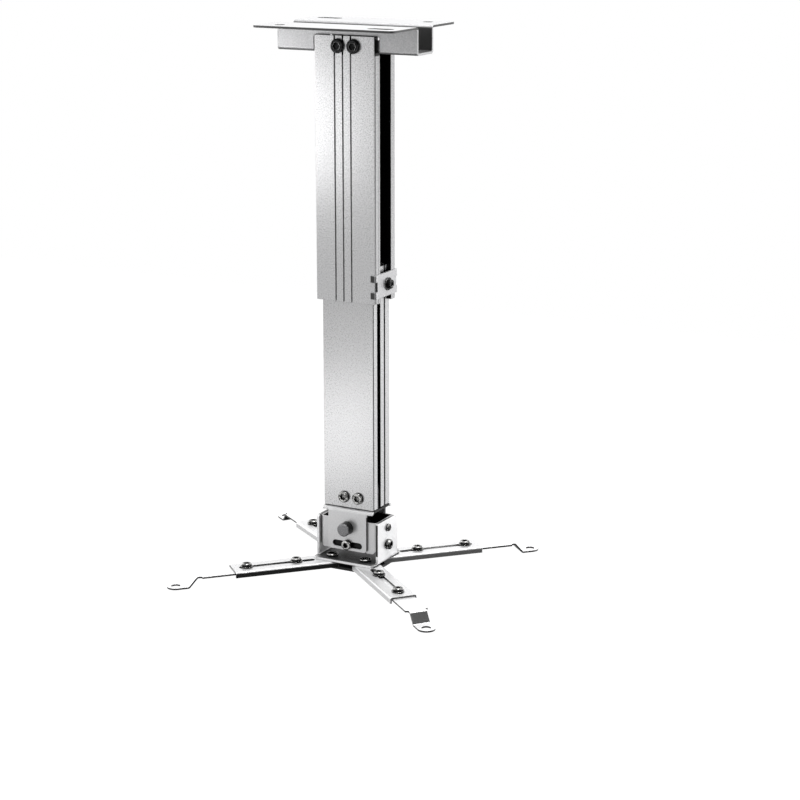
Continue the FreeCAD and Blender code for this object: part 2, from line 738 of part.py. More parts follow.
def make_clamp():
    plate = new_body("clamp_plate")
    section = new_sketch(plate, "XY_Plane", "-clamp_middle")
    hook_end = "clamp_face - clamp_hook"
    front = [
        ("outer_half_width", "-clamp_inner_half"),
        (hook_end, "-clamp_inner_half"),
        (hook_end, "-clamp_outer_half"),
        ("clamp_face", "-clamp_outer_half"),
    ]
    rear = [(along, across.lstrip("-")) for along, across in reversed(front)]
    add_outline(section, front + rear)
    pad(plate, section, "clamp_height", symmetric=True)
    outer_bends = [("clamp_face", "-clamp_outer_half"), ("clamp_face", "clamp_outer_half")]
    inner_bends = [("outer_half_width", "-clamp_inner_half"), ("outer_half_width", "clamp_inner_half")]
    round_edges(plate, "z", outer_bends, "clamp_bend + clamp_sheet")
    half_gap = "(clamp_height / 2 - clamp_ear)"
    waist = "(outer_half_depth - clamp_waist)"
    beyond = "(clamp_outer_half + clamp_sheet)"
    gaps = [
        rectangle(f"-{beyond}", f"-{waist}", f"-clamp_middle - {half_gap}", f"{half_gap} - clamp_middle"),
        rectangle(waist, beyond, f"-clamp_middle - {half_gap}", f"{half_gap} - clamp_middle"),
    ]
    cut_outline(plate, "YZ_Plane", gaps, "2 * clamp_hook + 2 * clamp_sheet", "outer_half_width")
    drill(plate, "YZ_Plane", [("clamp_shift", "-clamp_middle")], "clamp_shank + 2 * clear_fit",
          "4 * clamp_sheet", "outer_half_width")
    keep(plate)

    blank = doc.addObject("Part::Box", "clamp_nut_blank")
    bind(blank, "Length", "clamp_nut_height")
    bind(blank, "Width", "clamp_nut_width")
    bind(blank, "Height", "clamp_nut_width")
    place(blank, "outer_half_width - clamp_nut_height", "clamp_shift - clamp_nut_width / 2",
          "-clamp_middle - clamp_nut_width / 2")
    thread = doc.addObject("Part::Cylinder", "clamp_nut_thread")
    bind(thread, "Radius", "clamp_shank / 2 + thread_fit")
    bind(thread, "Height", "3 * clamp_nut_height")
    place(thread, "outer_half_width - 2 * clamp_nut_height", "clamp_shift", "-clamp_middle", "right")
    nut = doc.addObject("Part::Cut", "clamp_nut")
    nut.Label = "clamp_nut"
    nut.Base = blank
    nut.Tool = thread
    doc.recompute()
    keep(nut)

    screw = new_body("clamp_screw")
    sketch = new_sketch(screw, "XZ_Plane")
    length = "clamp_face - inner_half_width - clamp_tip_fit"
    head_top = "clamp_flange_height + clamp_head_height"
    add_outline(sketch, [
        ("0", minus(length)),
        ("clamp_shank / 3", minus(length)),
        ("clamp_shank / 2", f"clamp_shank / 6 - ({length})"),
        ("clamp_shank / 2", "0"),
        ("clamp_flange / 2", "0"),
        ("clamp_flange / 2", "clamp_flange_height"),
        ("clamp_head / 2", "clamp_flange_height"),
        ("clamp_head / 2", head_top),
        ("0", head_top),
    ])
    turn(screw, sketch, "V_Axis")
    round_rim(screw, "clamp_head", head_top, "clamp_head_height * dome_share / 2")
    cut_outline(screw, "XY_Plane", [hexagon("clamp_head * socket_share")],
                "2 * clamp_head_height * socket_depth_share", head_top)
    place(screw, "clamp_face", "clamp_shift", "-clamp_middle", "right")
    keep(screw)


def lock_slot_ends(angle):
    """The two end centres of an arc slot round the head's centre, below it."""
    return [(f"{sign}lock_radius * sin({angle} / 2)", f"-lock_radius * cos({angle} / 2)") for sign in ("-", "")]


def make_upper_bracket():
    body = new_body("upper_bracket")
    section = new_sketch(body, "YZ_Plane")
    inside_top = "head_drop - upper_sheet"
    add_outline(section, mirrored([
        ("upper_inside", inside_top),
        ("upper_inside", "-upper_fall"),
        ("upper_outside", "-upper_fall"),
        ("upper_outside", "head_drop"),
    ]))
    pad(body, section, "upper_plate", symmetric=True)
    round_edges(body, "x", mirrored([("upper_outside", "head_drop")]), "upper_bend + upper_sheet")
    round_edges(body, "x", mirrored([("upper_inside", inside_top)]), "upper_bend")
    beyond = "upper_plate / 2 + upper_sheet"
    shoulder = "head_drop - upper_bend - upper_sheet"
    sides = [rectangle("upper_ear / 2", beyond, "-upper_fall - upper_sheet", shoulder),
             rectangle(minus(beyond), "-upper_ear / 2", "-upper_fall - upper_sheet", shoulder)]
    cut_outline(body, "XZ_Plane", sides, "2 * upper_outside + 2 * upper_sheet")
    round_edges(body, "y", mirrored([("upper_ear / 2", "-upper_fall")]), "upper_ear_corner")
    through = "2 * upper_outside + 2 * upper_sheet"
    drill(body, "XZ_Plane", [("0", "0")], "roll_stud + 2 * pivot_fit", through)
    reach = "(roll_slot_length - lock_slot) / 2"
    long_holes(body, "XZ_Plane", [(minus(reach), reach, "-lock_radius")], "lock_slot", through)
    holes = [("-head_screw_pitch / 2", "0"), ("head_screw_pitch / 2", "0")]
    drill(body, "XY_Plane", holes, "head_screw_shank + 2 * clear_fit", "4 * upper_sheet", "head_drop")
    return keep(place(body, up="-head_centre"))


def make_head_screws():
    screws = []
    for side, sign in (("left", "-"), ("right", "")):
        body = make_screw(f"head_screw_{side}", "head_screw_shank", "head_screw_length",
                          "head_screw_head", "head_screw_head_height")
        screws.append(place(body, f"{sign}head_screw_pitch / 2", "0", "-head_top - upper_sheet", "down"))
    group("head_screws", screws)


def make_tilt_box():
    body = new_body("tilt_box")
    outline = new_sketch(body, "XY_Plane", "-box_fall")
    add_outline(outline, rectangle("-box_half_width", "box_half_width", "-box_half_depth", "box_half_depth"))
    pad(body, outline, "box_rise + box_fall")
    corners = mirrored([("box_half_width", "box_half_depth"), ("box_half_width", "-box_half_depth")])
    round_edges(body, "z", corners, "box_bend + box_sheet")
    inner_width = "box_half_width - box_sheet"
    inner_depth = "box_half_depth - box_sheet"
    hollow = rectangle(minus(inner_width), inner_width, minus(inner_depth), inner_depth)
    cut_outline(body, "XY_Plane", [hollow], "3 * (box_rise + box_fall)")
    inner_corners = mirrored([(inner_width, inner_depth), (inner_width, minus(inner_depth))])
    round_edges(body, "z", inner_corners, "box_bend")
    edge = "box_half_width + box_sheet"
    low = "-box_fall - box_sheet"
    bevels = [
        [("box_half_width - box_corner", low), (edge, low), (edge, "box_corner - box_fall"),
         ("box_half_width", "box_corner - box_fall"), ("box_half_width - box_corner", "-box_fall")],
        [("box_corner - box_half_width", low), (minus(edge), low), (minus(edge), "box_corner - box_fall"),
         ("-box_half_width", "box_corner - box_fall"), ("box_corner - box_half_width", "-box_fall")],
    ]
    cut_outline(body, "XZ_Plane", bevels, "box_depth + box_sheet")
    through_faces = "box_depth + box_sheet"
    drill(body, "XZ_Plane", [("0", "0")], "roll_stud + 2 * thread_fit", through_faces)
    drill(body, "XZ_Plane", [("0", "-lock_radius")], "lock_shank + 2 * clear_fit", through_faces)
    through_sides = "box_width + box_sheet"
    drill(body, "YZ_Plane", [("0", "0")], "pitch_rivet + 2 * thread_fit", through_sides)
    drill(body, "YZ_Plane", [("0", "-lock_radius")], "lock_shank + 2 * clear_fit", through_sides)
    return keep(place(body, up="-head_centre"))


def make_roll_studs():
    """Studs held in the box's front and rear walls, which carry the box in the bracket's ears."""
    studs = []
    for facing, sign in (("front", "-"), ("rear", "")):
        body = new_body(f"roll_stud_{facing}")
        sketch = new_sketch(body, "XZ_Plane")
        reach = "upper_outside - box_half_depth + roll_stud_reach"
        add_outline(sketch, [
            ("0", "-box_sheet - roll_stud_rim_height"),
            ("roll_stud_rim / 2", "-box_sheet - roll_stud_rim_height"),
            ("roll_stud_rim / 2", "-box_sheet"),
            ("roll_stud / 2", "-box_sheet"),
            ("roll_stud / 2", reach),
            ("0", reach),
        ])
        turn(body, sketch, "V_Axis")
        round_rim(body, "roll_stud", reach, "roll_stud_reach / 8")
        studs.append(place(body, "0", f"{sign}box_half_depth", "-head_centre", facing))
    group("roll_studs", studs)


def make_pitch_rivets():
    """Shouldered rivets held in the box's side walls, on which the lower bracket turns."""
    rivets = []
    for facing, sign in (("left", "-"), ("right", "")):
        body = new_body(f"pitch_rivet_{facing}")
        sketch = new_sketch(body, "XZ_Plane")
        seat = "upright_outside - box_half_width + lock_fit"
        add_outline(sketch, [
            ("0", "-box_sheet - pitch_rivet_tail_height"),
            ("pitch_rivet_tail / 2", "-box_sheet - pitch_rivet_tail_height"),
            ("pitch_rivet_tail / 2", "-box_sheet"),
            ("pitch_rivet / 2", "-box_sheet"),
            ("pitch_rivet / 2", seat),
            ("pitch_rivet_head / 2", seat),
            ("pitch_rivet_head / 2", f"{seat} + pitch_rivet_head_height"),
            ("0", f"{seat} + pitch_rivet_head_height"),
        ])
        turn(body, sketch, "V_Axis")
        round_rim(body, "pitch_rivet_head", f"{seat} + pitch_rivet_head_height", "pitch_rivet_head_height * dome_share")
        rivets.append(place(body, f"{sign}box_half_width", "0", "-head_centre", facing))
    group("pitch_rivets", rivets)


def make_locks(name, facings, outside, inside):
    """Lock screws on both sides of the head, each with its nut inside the box."""
    screws = []
    nuts = []
    seat = f"({outside}) + lock_fit"
    length = f"{seat} - ({inside}) + box_sheet + lock_nut_height + tip_room"
    for facing, sign in facings:
        screw = make_screw(f"{name}_lock_screw_{facing}", "lock_shank", length, "lock_head", "lock_head_height")
        nut = make_nut(f"{name}_lock_nut_{facing}", "lock_nut_width", "lock_nut_height",
                       "lock_shank + 2 * thread_fit")
        screw_place = f"{sign}({seat})"
        nut_place = f"{sign}({inside} - box_sheet)"
        drop = "-head_centre - lock_radius"
        if facing in ("front", "rear"):
            place(screw, "0", screw_place, drop, facing)
            place(nut, "0", nut_place, drop, facing)
        else:
            place(screw, screw_place, "0", drop, facing)
            place(nut, nut_place, "0", drop, facing)
        screws.append(screw)
        nuts.append(nut)
    group(f"{name}_lock_screws", screws)
    group(f"{name}_lock_nuts", nuts)


def make_lower_bracket():
    body = new_body("lower_bracket")
    section = new_sketch(body, "XZ_Plane")
    base_low = "-lower_fall - lower_sheet"
    add_outline(section, mirrored([
        ("upright_inside", "-lower_fall"),
        ("upright_inside", "lower_rise"),
        ("upright_outside", "lower_rise"),
        ("upright_outside", base_low),
    ]))
    pad(body, section, "base_depth", symmetric=True)
    round_edges(body, "y", mirrored([("upright_outside", base_low)]), "lower_bend + lower_sheet")
    round_edges(body, "y", mirrored([("upright_inside", "-lower_fall")]), "lower_bend")
    beyond = "base_depth / 2 + lower_sheet"
    top = "lower_rise + lower_sheet"
    ends = [rectangle("upright_depth / 2", beyond, "-lower_fall", top),
            rectangle(minus(beyond), "-upright_depth / 2", "-lower_fall", top)]
    across_both = "2 * upright_outside + 2 * lower_sheet"
    cut_outline(body, "YZ_Plane", ends, across_both)
    round_edges(body, "x", [("-upright_depth / 2", "lower_rise")], "upright_front_corner")
    round_edges(body, "x", [("upright_depth / 2", "lower_rise")], "upright_rear_corner")
    far = "upright_outside + lower_sheet"
    corners = []
    for side in ("", "-"):
        for end in ("", "-"):
            corners.append([
                (f"{side}({far})", f"{end}(base_depth / 2 - base_corner - lower_sheet)"),
                (f"{side}({far})", f"{end}({beyond})"),
                (f"{side}(upright_outside - base_corner - lower_sheet)", f"{end}({beyond})"),
            ])
    cut_outline(body, "XY_Plane", corners, "4 * lower_sheet", "-lower_fall")
    drill(body, "YZ_Plane", [("0", "0")], "pitch_rivet + 2 * pivot_fit", across_both)
    slots = [rectangle(low, high, "-lock_radius - lock_slot / 2", "lock_slot / 2 - lock_radius")
             for low, high in (("upright_inside - lower_bend", "upright_outside + lower_bend"),
                               ("-upright_outside - lower_bend", "lower_bend - upright_inside"))]
    swing_cut(body, "XZ_Plane", slots, "pitch_slot_angle")
    drill(body, "YZ_Plane", lock_slot_ends("pitch_slot_angle"), "lock_slot", across_both)
    pivots = [(f"{side}arm_pivot_along", f"{end}arm_pivot_across") for side in ("", "-") for end in ("", "-")]
    drill(body, "XY_Plane", pivots, "base_shank + 2 * clear_fit", "4 * lower_sheet", "-lower_fall")
    return keep(place(body, up="-head_centre"))


CORNERS = {
    "front_left": ("-", "-"),
    "front_right": ("", "-"),
    "rear_right": ("", ""),
    "rear_left": ("-", ""),
}


def make_base_screws():
    screws = []
    for corner, (side, end) in CORNERS.items():
        screw = make_screw(f"base_screw_{corner}", "base_shank", "hub_top + hub_sheet - lower_fall",
                           "base_head", "base_head_height")
        screws.append(place(screw, f"{side}arm_pivot_along", f"{end}arm_pivot_across", "-head_centre - lower_fall"))
    group("base_screws", screws)


def make_hub_plate():
    """A tapped plate under the arms' inner ends."""
    body = new_body("hub_plate")
    outline = new_sketch(body, "XY_Plane", "-hub_top")
    half_width = "(upright_outside - hub_inset)"
    half_depth = "(base_depth / 2 - hub_inset)"
    add_outline(outline, rectangle(minus(half_width), half_width, minus(half_depth), half_depth))
    pad(body, outline, "hub_sheet", reverse=True)
    round_edges(body, "z", mirrored([(half_width, half_depth), (half_width, minus(half_depth))]), "hub_corner")
    taps = [(f"{side}arm_pivot_along", f"{end}arm_pivot_across") for side in ("", "-") for end in ("", "-")]
    drill(body, "XY_Plane", taps, "base_shank + 2 * thread_fit", "4 * hub_sheet", "-hub_top")
    return keep(place(body, up="-head_centre"))


def place_on_arm(item, corner):
    """Turn a piece that is drawn along +X to its arm's direction, with its origin on the arm's pivot."""
    side, end = CORNERS[corner]
    item.Placement = FreeCAD.Placement(FreeCAD.Vector(), FreeCAD.Rotation(FreeCAD.Vector(0, 0, 1), 1))
    bind(item, "Placement.Base.x", f"{side}arm_pivot_along")
    bind(item, "Placement.Base.y", f"{end}arm_pivot_across")
    bind(item, "Placement.Base.z", "-head_centre - arm_top")
    bind(item, "Placement.Rotation.Angle", f"{corner}_angle")
    doc.recompute()
    return item


def make_arm_channel(corner):
    body = new_body(f"arm_channel_{corner}")
    top = new_sketch(body, "XY_Plane")
    add_outline(top, rectangle("-arm_wall_reach", "arm_length", "-arm_half", "arm_half"))
    pad(body, top, "arm_height", reverse=True)
    floor = "arm_half - arm_sheet"
    beyond = "arm_length + arm_sheet"
    hollow = rectangle("-arm_wall_reach - arm_sheet", beyond, minus(floor), floor)
    cut_outline(body, "XY_Plane", [hollow], "2 * (arm_height - arm_sheet)", "-arm_height")
    round_edges(body, "x", [("-arm_half", "0"), ("arm_half", "0")], "arm_bend + arm_sheet")
    round_edges(body, "x", [(minus(floor), "-arm_sheet"), (floor, "-arm_sheet")], "arm_bend")
    eye = new_sketch(body, "XY_Plane")
    add_circle(eye, "0", "0", "arm_eye")
    pad(body, eye, "arm_sheet", reverse=True)
    drill(body, "XY_Plane", [("0", "0")], "base_shank + 2 * pivot_fit", "4 * arm_sheet")
    ends = [("arm_slot_start + arm_slot / 2", "arm_slot_end - arm_slot / 2", "0")]
    long_holes(body, "XY_Plane", ends, "arm_slot", "4 * arm_sheet")
    keep(place_on_arm(body, corner))


def make_foot_strip(corner):
    body = new_body(f"foot_strip_{corner}")
    section = new_sketch(body, "XZ_Plane")
    low_top = "-strip_top - crank_drop"
    add_outline(section, [
        ("strip_start", "-strip_top"),
        ("crank_start", "-strip_top"),
        ("crank_end", low_top),
        ("foot_tip", low_top),
        ("foot_tip", f"{low_top} - strip_sheet"),
        ("crank_end - crank_shift", f"{low_top} - strip_sheet"),
        ("crank_start - crank_shift", "-strip_top - strip_sheet"),
        ("strip_start", "-strip_top - strip_sheet"),
    ])
    pad(body, section, "strip_width", symmetric=True)
    round_edges(body, "y", [("crank_start", "-strip_top"), ("crank_end - crank_shift", f"{low_top} - strip_sheet")],
                "strip_bend + strip_sheet")
    round_edges(body, "y", [("crank_end", low_top), ("crank_start - crank_shift", "-strip_top - strip_sheet")],
                "strip_bend")
    half = "strip_width / 2"
    neck = "neck_width / 2"
    beside = [rectangle("neck_start", "foot_tip + strip_sheet", neck, "strip_width"),
              rectangle("neck_start", "foot_tip + strip_sheet", "-strip_width", minus(neck))]
    cut_outline(body, "XY_Plane", beside, "2 * (strip_top + strip_sheet + crank_drop + strip_sheet)")
    round_edges(body, "z", [("neck_start", neck), ("neck_start", minus(neck))], "neck_corner")
    round_edges(body, "z", [("foot_tip", neck), ("foot_tip", minus(neck))], "foot_tip_round")
    round_edges(body, "z", [("strip_start", half), ("strip_start", minus(half))], "strip_end_corner")
    drill(body, "XY_Plane", [("foot_hole_along", "0")], "foot_hole", "4 * strip_sheet", low_top)
    screw_places = [("arm_screw_near", "0"), ("arm_screw_far", "0")]
    drill(body, "XY_Plane", screw_places, "arm_shank + 2 * clear_fit", "4 * strip_sheet", "-strip_top")
    keep(place_on_arm(body, corner))


def make_arm_fasteners(corner):
    """Two screws with washers above the arm, and nuts under the strip."""
    screws = []
    washers = []
    nuts = []
    seat = "washer_fit + washer_sheet"
    length = f"{seat} + strip_top + strip_sheet + arm_nut_height + tip_room"
    for spot in ("near", "far"):
        screw = make_screw(f"arm_screw_{corner}_{spot}", "arm_shank", length, "arm_head", "arm_head_height")
        screws.append(place(screw, f"arm_screw_{spot}", "0", seat))
        washer = new_body(f"arm_washer_{corner}_{spot}")
        ring = new_sketch(washer, "XY_Plane")
        add_circle(ring, "0", "0", "washer_width")
        add_circle(ring, "0", "0", "arm_shank + 2 * clear_fit")
        pad(washer, ring, "washer_sheet")
        washers.append(place(washer, f"arm_screw_{spot}", "0", "washer_fit"))
        nut = make_nut(f"arm_nut_{corner}_{spot}", "arm_nut_width", "arm_nut_height", "arm_shank + 2 * thread_fit")
        nuts.append(place(nut, f"arm_screw_{spot}", "0", "-strip_top - strip_sheet"))
    place_on_arm(group(f"arm_screws_{corner}", screws), corner)
    place_on_arm(group(f"arm_washers_{corner}", washers), corner)
    place_on_arm(group(f"arm_nuts_{corner}", nuts), corner)


make_ceiling_bracket()
make_cross_block()
make_block_screws()
make_outer_profile()
make_face_screws("top_screws", "top_screw_length", "top_head", "top_head_height",
                 "top_screw_shift", "top_screw_pitch", "outer_half_depth", "top_screw_drop")
make_clamp()
make_inner_profile()
make_end_block()
make_face_screws("foot_screws", "foot_screw_length", "foot_head", "foot_head_height",
                 "foot_screw_shift", "foot_screw_pitch", "inner_half_depth", "foot_screw_drop")
make_upper_bracket()
make_head_screws()
make_tilt_box()
make_roll_studs()
make_pitch_rivets()
make_locks("roll", (("front", "-"), ("rear", "")), "upper_outside", "box_half_depth")
make_locks("pitch", (("left", "-"), ("right", "")), "upright_outside", "box_half_width")
make_lower_bracket()
make_base_screws()
make_hub_plate()
for corner_name in CORNERS:
    make_arm_channel(corner_name)
    make_foot_strip(corner_name)
    make_arm_fasteners(corner_name)

doc.recompute()
for item in doc.Objects:
    if "Invalid" in item.State or "Error" in item.State:
        raise RuntimeError(f"{item.Label} did not compute: {item.State}")
os.makedirs("parts", exist_ok=True)
for part in parts:
    if part.Shape.isNull() or not part.Shape.isValid() or not part.Shape.Solids:
        raise RuntimeError(f"{part.Label} has no valid shape")
    part.Shape.exportStep(os.path.join("parts", part.Label + ".step"))
    box = part.Shape.BoundBox
    print(f"{part.Label}: {len(part.Shape.Solids)} solids, {part.Shape.Volume:.0f} mm3, "
          f"z {box.ZMin:.1f} to {box.ZMax:.1f}")
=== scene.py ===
"""A ceiling mount with a telescopic column, a head that tilts two ways and four cranked arms."""

import math

import bpy
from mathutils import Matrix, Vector


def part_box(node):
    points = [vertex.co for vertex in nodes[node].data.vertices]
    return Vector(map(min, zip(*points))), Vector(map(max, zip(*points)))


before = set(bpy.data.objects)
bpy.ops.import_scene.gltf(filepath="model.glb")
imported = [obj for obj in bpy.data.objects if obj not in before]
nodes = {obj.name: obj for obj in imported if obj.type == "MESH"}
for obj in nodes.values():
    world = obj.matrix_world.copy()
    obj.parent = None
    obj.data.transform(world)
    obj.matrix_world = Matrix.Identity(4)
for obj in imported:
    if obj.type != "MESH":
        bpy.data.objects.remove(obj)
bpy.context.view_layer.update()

# The view. The camera stands right of the front, level and a little above the middle of the column.
# Both arms that reach forward and the open side of the column show.
CAMERA_AZIMUTH = math.radians(27.887)
CAMERA_ELEVATION = math.radians(14.612)
CAMERA_DISTANCE = 1.9189
CAMERA_TARGET = Vector((0.045216, 0, -0.336528))
camera_data = bpy.data.cameras.new("camera")
camera_data.lens = 95
camera_data.sensor_width = 36
camera_data.clip_end = 50
camera = bpy.data.objects.new("camera", camera_data)
bpy.context.scene.collection.objects.link(camera)
bpy.context.scene.camera = camera
toward_camera = Vector((
    math.sin(CAMERA_AZIMUTH) * math.cos(CAMERA_ELEVATION),
    -math.cos(CAMERA_AZIMUTH) * math.cos(CAMERA_ELEVATION),
    math.sin(CAMERA_ELEVATION),
))
camera.location = CAMERA_TARGET + CAMERA_DISTANCE * toward_camera
camera.rotation_euler = toward_camera.to_track_quat("Z", "Y").to_euler()
bpy.context.scene.view_settings.view_transform = "Standard"

# The room. The mount hangs from a ceiling, so the pale floor lies a room's height below it.
# Whatever looks past the object, or is mirrored in it, meets plain white.
WHITE = (1, 1, 1, 1)
ROOM_LIGHT = 0.2
BACKDROP_LIGHT = 1.0
FLOOR_PAINT = (0.2, 0.2, 0.2, 1)
FLOOR_DROP = 2.4
FLOOR_REACH = 9


def add_node(tree, kind, inputs=None, **settings):
    """A node with its settings. Its inputs are set to values or joined to other nodes' sockets."""
    node = tree.nodes.new(kind)
    for name, setting in settings.items():
        setattr(node, name, setting)
    for socket, given in (inputs or {}).items():
        if isinstance(given, bpy.types.NodeSocket):
            tree.links.new(given, node.inputs[socket])
        else:
            node.inputs[socket].default_value = given
    return node


def add_maths(tree, operation, first, second=0.0, third=0.0):
    return add_node(tree, "ShaderNodeMath", {0: first, 1: second, 2: third}, operation=operation).outputs[0]


def seen_or_mirrored(tree):
    """1 for rays from the camera, a mirror or glass, and 0 for the light that falls on things."""
    path = add_node(tree, "ShaderNodeLightPath").outputs
    either = add_maths(tree, "MAXIMUM", path["Is Camera Ray"], path["Is Glossy Ray"])
    return add_maths(tree, "MAXIMUM", either, path["Is Transmission Ray"])


def new_material(name):
    material = bpy.data.materials.new(name)
    material.use_nodes = True
    material.node_tree.nodes.clear()
    return material, material.node_tree


def stage_card(name, corners, material):
    """A flat four-sided card of the studio."""
    mesh = bpy.data.meshes.new(name)
    mesh.from_pydata(corners, [], [(0, 1, 2, 3)])
    mesh.materials.append(material)
    card = bpy.data.objects.new(name, mesh)
    bpy.context.scene.collection.objects.link(card)
    return card


def level_card(name, middle, reach, material):
    """A level square card that reaches as far to each side of its middle."""
    corners = [Vector(middle) + reach * Vector((x, y, 0)) for x, y in ((-1, -1), (1, -1), (1, 1), (-1, 1))]
    return stage_card(name, corners, material)


world = bpy.data.worlds.new("room")
bpy.context.scene.world = world
world.use_nodes = True
room = world.node_tree
room.nodes.clear()
room_light = add_node(room, "ShaderNodeBackground", {"Color": WHITE, "Strength": ROOM_LIGHT})
white_backdrop = add_node(room, "ShaderNodeBackground", {"Color": WHITE, "Strength": BACKDROP_LIGHT})
room_mix = add_node(room, "ShaderNodeMixShader", {
    0: seen_or_mirrored(room), 1: room_light.outputs[0], 2: white_backdrop.outputs[0]})
add_node(room, "ShaderNodeOutputWorld", {"Surface": room_mix.outputs[0]})

floor_material, floor_tree = new_material("pale_floor")
floor_paint = add_node(floor_tree, "ShaderNodeBsdfDiffuse", {"Color": FLOOR_PAINT})
floor_glow = add_node(floor_tree, "ShaderNodeEmission", {"Color": WHITE, "Strength": seen_or_mirrored(floor_tree)})
floor_sum = add_node(floor_tree, "ShaderNodeAddShader", {0: floor_paint.outputs[0], 1: floor_glow.outputs[0]})
add_node(floor_tree, "ShaderNodeOutputMaterial", {"Surface": floor_sum.outputs[0]})
level_card("floor", (0, 0, -FLOOR_DROP), FLOOR_REACH, floor_material)

# The studio's dark side: three near-black cards that only the metal mirrors. A tall one stands right of the front
# and draws dark lines along the upright edges. One hangs high on the right and darkens the front right foot's slope,
# and one lies low, where the folds' undersides mirror it.
TALL_CARD_MIDDLE_ANGLE = math.radians(-18)
TALL_CARD_HALF_ANGLE = math.radians(34)
TALL_CARD_DISTANCE = 1.6
TALL_CARD_LOWEST, TALL_CARD_HIGHEST = -2.2, 0.12
HIGH_CARD_MIDDLE, HIGH_CARD_REACH = (1.14, -0.05, 1.3), 0.5
LOW_CARD_MIDDLE, LOW_CARD_REACH = (0, 0, -1.5), 1.2
CARD_PAINT = (0.02, 0.02, 0.02, 1)
card_material, card_tree = new_material("dark_card")
card_paint = add_node(card_tree, "ShaderNodeBsdfDiffuse", {"Color": CARD_PAINT})
add_node(card_tree, "ShaderNodeOutputMaterial", {"Surface": card_paint.outputs[0]})
left_end, right_end = [
    (TALL_CARD_DISTANCE * math.cos(angle), TALL_CARD_DISTANCE * math.sin(angle)) for angle in (
        TALL_CARD_MIDDLE_ANGLE - TALL_CARD_HALF_ANGLE, TALL_CARD_MIDDLE_ANGLE + TALL_CARD_HALF_ANGLE)]
dark_cards = [
    stage_card("dark_card", [
        (*left_end, TALL_CARD_LOWEST), (*right_end, TALL_CARD_LOWEST),
        (*right_end, TALL_CARD_HIGHEST), (*left_end, TALL_CARD_HIGHEST)], card_material),
    level_card("high_card", HIGH_CARD_MIDDLE, HIGH_CARD_REACH, card_material),
    level_card("low_card", LOW_CARD_MIDDLE, LOW_CARD_REACH, card_material),
]
for card in dark_cards:
    card.visible_camera = False
    card.visible_diffuse = False
    card.visible_shadow = False

# The studio's lamps. Four large soft ones light the right and left sides, the tops and the back. Three small ones,
# close by on the left, make the two broad glows on the column's front and the one on the bracket.
COLUMN_MIDDLE = (0, 0, -0.3)
for lamp_name, lamp_place, lamp_aim, lamp_size, lamp_watts in (
        ("lamp_right", (1.7, 0.8, 0), COLUMN_MIDDLE, 2.2, 28),
        ("lamp_left", (-1.7, 0.3, 0.2), COLUMN_MIDDLE, 2.0, 17),
        ("lamp_above", (0.2, 0.1, 1.5), COLUMN_MIDDLE, 1.2, 60),
        ("lamp_behind", (-0.9, 1.4, 1.2), COLUMN_MIDDLE, 1.8, 4),
        ("lamp_upper_glow", (-0.25, -0.34, -0.145), (-0.02, 0, -0.09), 0.12, 0.15),
        ("lamp_lower_glow", (-0.22, -0.4, -0.485), (0, 0, -0.37), 0.12, 0.1),
        ("lamp_bracket_glow", (-0.2, -0.18, -0.05), (-0.07, 0, -0.01), 0.08, 0.07)):
    light = bpy.data.lights.new(lamp_name, "AREA")
    light.size = lamp_size
    light.energy = lamp_watts
    lamp = bpy.data.objects.new(lamp_name, light)
    lamp.location = lamp_place
    lamp.rotation_euler = (Vector(lamp_place) - Vector(lamp_aim)).to_track_quat("Z", "Y").to_euler()
    lamp.visible_camera = False
    bpy.context.scene.collection.objects.link(lamp)

# Ceiling bracket: one hat channel folded from sheet steel and coated silver, with two round holes and two slots
# for the ceiling anchors. The column hangs on its web. The edges of its flanges and holes are painted dark as
# shade, and so is the inside of its channel.
BRACKET_SILVER, BRACKET_GREY = (0.54, 0.54, 0.545, 1), (0.30, 0.30, 0.307, 1)
# Colours named for edges or glints are painted highlights along the edges.
SILVER_EDGE_HIGHLIGHT = (0.85, 0.85, 0.85, 1)
DEEP_SHADE = (0.008, 0.008, 0.008, 1)
DARK_FACE_SHADE = (0.07, 0.07, 0.07, 1)
CHANNEL_SHADE = (0.09, 0.09, 0.09, 1)
FLANGE_UNDERSIDE = -0.0021
CHANNEL_HALF_LENGTH, CHANNEL_HALF_DEPTH = 0.0698, 0.0132
ALL_THE_WAY_DOWN = -1.0
GRAIN_SHARE, CLOUD_SHARE = 0.7, 0.3
GRAIN_HEIGHT = 0.0002
SQUARE_SOFTNESS = 0.15
SPECULAR_LEVEL = 0.25


def new_group(name, inputs, outputs):
    """A shader node group. Its inputs are floats, or vectors where the default is one."""
    group = bpy.data.node_groups.new(name, "ShaderNodeTree")
    for socket, default in inputs.items():
        kind = "NodeSocketFloat" if isinstance(default, (int, float)) else "NodeSocketVector"
        group.interface.new_socket(socket, in_out="INPUT", socket_type=kind).default_value = default
    for socket, kind in outputs.items():
        group.interface.new_socket(socket, in_out="OUTPUT", socket_type=kind)
    return group, add_node(group, "NodeGroupInput").outputs


def make_grain_group():
    """The fine sparkle of a satin metal surface, and the slow change of tone over a large face."""
    group, given = new_group("metal_grain", {"Grains per metre": 900.0, "Clouds per metre": 9.0, "Spread": 0.2},
                             {"Grain": "NodeSocketFloat", "Cloud": "NodeSocketFloat"})
    place = add_node(group, "ShaderNodeTexCoord").outputs["Object"]
    fine = add_node(group, "ShaderNodeTexNoise", {
        "Vector": place, "Scale": given["Grains per metre"], "Detail": 2.0, "Roughness": 0.8})
    slow = add_node(group, "ShaderNodeTexNoise", {
        "Vector": place, "Scale": given["Clouds per metre"], "Detail": 1.0, "Roughness": 0.4})
    grain = add_node(group, "ShaderNodeMapRange", {
        "Value": fine.outputs[0], "From Min": add_maths(group, "SUBTRACT", 0.5, given["Spread"]),
        "From Max": add_maths(group, "ADD", 0.5, given["Spread"])})
    add_node(group, "NodeGroupOutput", {"Grain": grain.outputs[0], "Cloud": slow.outputs[0]})
    return group


